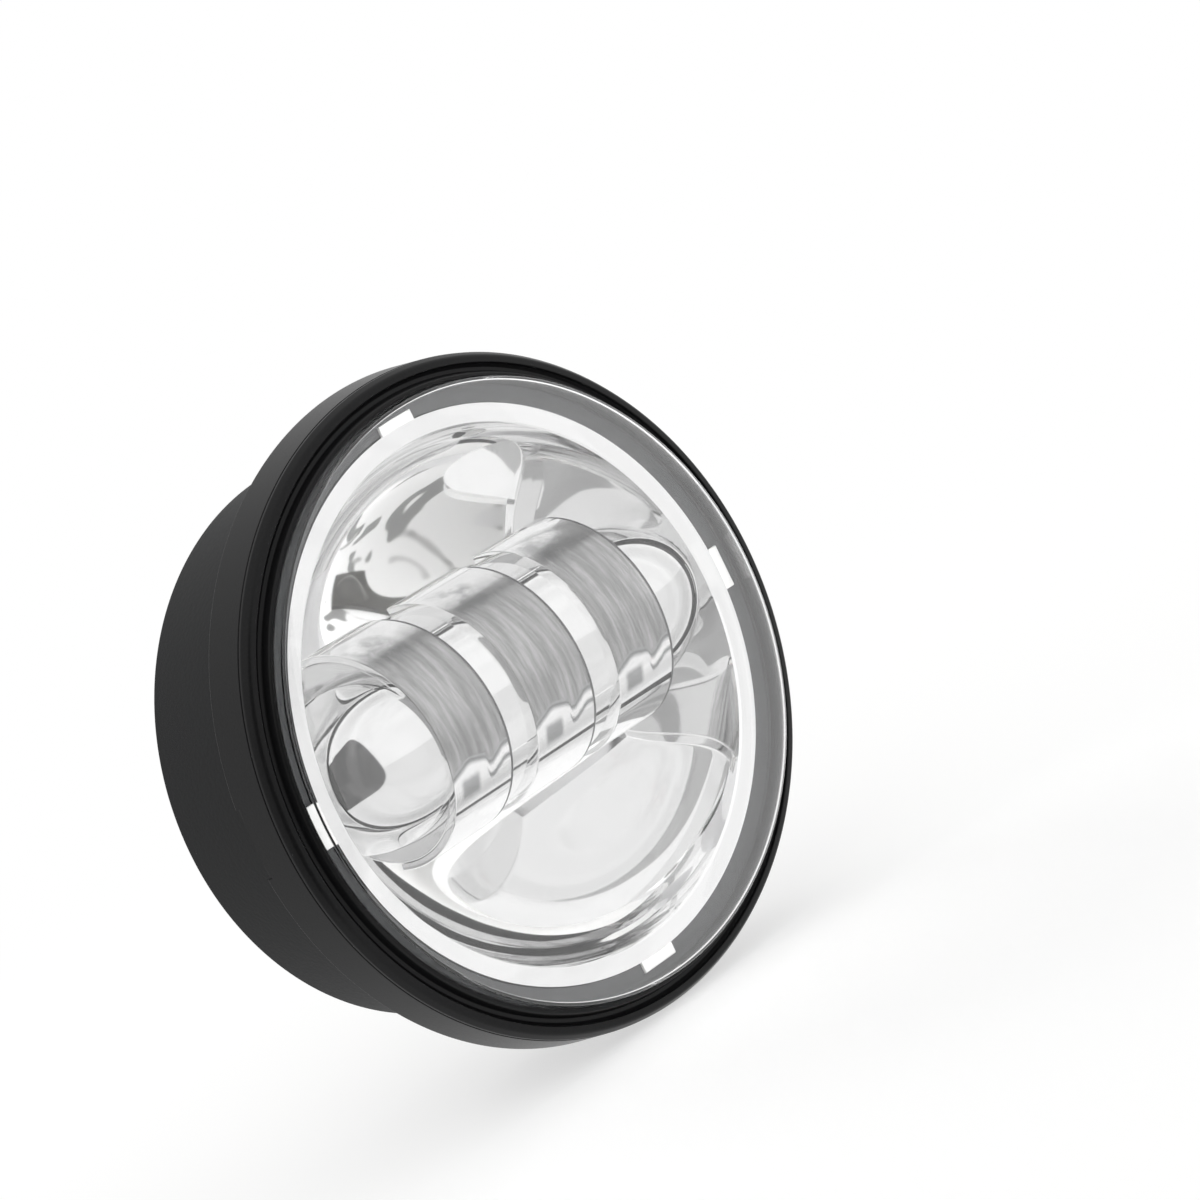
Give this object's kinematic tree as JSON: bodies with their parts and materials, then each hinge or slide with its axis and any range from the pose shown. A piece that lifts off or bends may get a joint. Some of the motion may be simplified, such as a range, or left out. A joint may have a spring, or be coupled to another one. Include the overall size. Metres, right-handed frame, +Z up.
{
  "type": "fog light",
  "caption": "Round sealed LED fog light with a stepped mounting flange, clear lens, chrome bowl reflector, horizontal light bar and finned rear.",
  "frame": {"origin": "on the lamp's axis, in the plane of the flange's rear seat face", "axes": "+Y runs backwards along the lamp's axis, the light shines along -Y, +Z is up as installed"},
  "size_m": [0.1142, 0.0658, 0.1142],
  "materials": {
    "black_moulding": "fine satin moulding",
    "black_casting": "matte black powder coat on cast aluminium",
    "clear_lens": "clear hard-coated polycarbonate",
    "grey_silicone": "matte",
    "black_rubber": "matte",
    "chrome_plating": "bright mirror plating on moulded plastic",
    "bare_aluminium": "milled",
    "white_board": "white solder mask",
    "led_phosphor": "silicone dome over phosphor",
    "green_board": "green solder mask",
    "screw_steel": "zinc plated",
    "copper_coil": "enamelled winding",
    "black_component": "moulded epoxy",
    "red_insulation": "PVC",
    "black_insulation": "PVC",
    "blue_pad": "soft silicone"
  },
  "bodies": {
    "root": {"front_ring": "black_moulding", "lens": "clear_lens", "lens_gasket": "grey_silicone", "ring_bond": "black_rubber", "front_frame": "black_moulding", "frame_seal": "black_rubber", "housing": "black_casting", "reflector": "chrome_plating", "bar_shell": "chrome_plating", "bar_band_left": "chrome_plating", "bar_band_middle": "chrome_plating", "bar_band_right": "chrome_plating", "bar_end_left": "chrome_plating", "bar_end_right": "chrome_plating", "bar_end_screws": "screw_steel", "bar_core": "bare_aluminium", "led_board_upper": "white_board", "led_board_lower": "white_board", "leds_upper": "led_phosphor", "leds_lower": "led_phosphor", "board_screws": "screw_steel", "leads_red": "red_insulation", "leads_black": "black_insulation", "driver_board": "green_board", "driver_coil": "copper_coil", "driver_capacitors": "black_component", "driver_chip": "black_component", "terminal_block": "green_board", "driver_screws": "screw_steel", "thermal_pad": "blue_pad", "core_screws": "screw_steel", "heat_sink": "black_casting", "cover_seal": "black_rubber", "cover_screws": "screw_steel", "vent_plug": "black_moulding", "gland_washer": "black_rubber", "gland_body": "black_moulding", "gland_locknut": "screw_steel", "gland_seal": "black_rubber", "gland_nut": "black_moulding"}
  },
  "joints": []
}
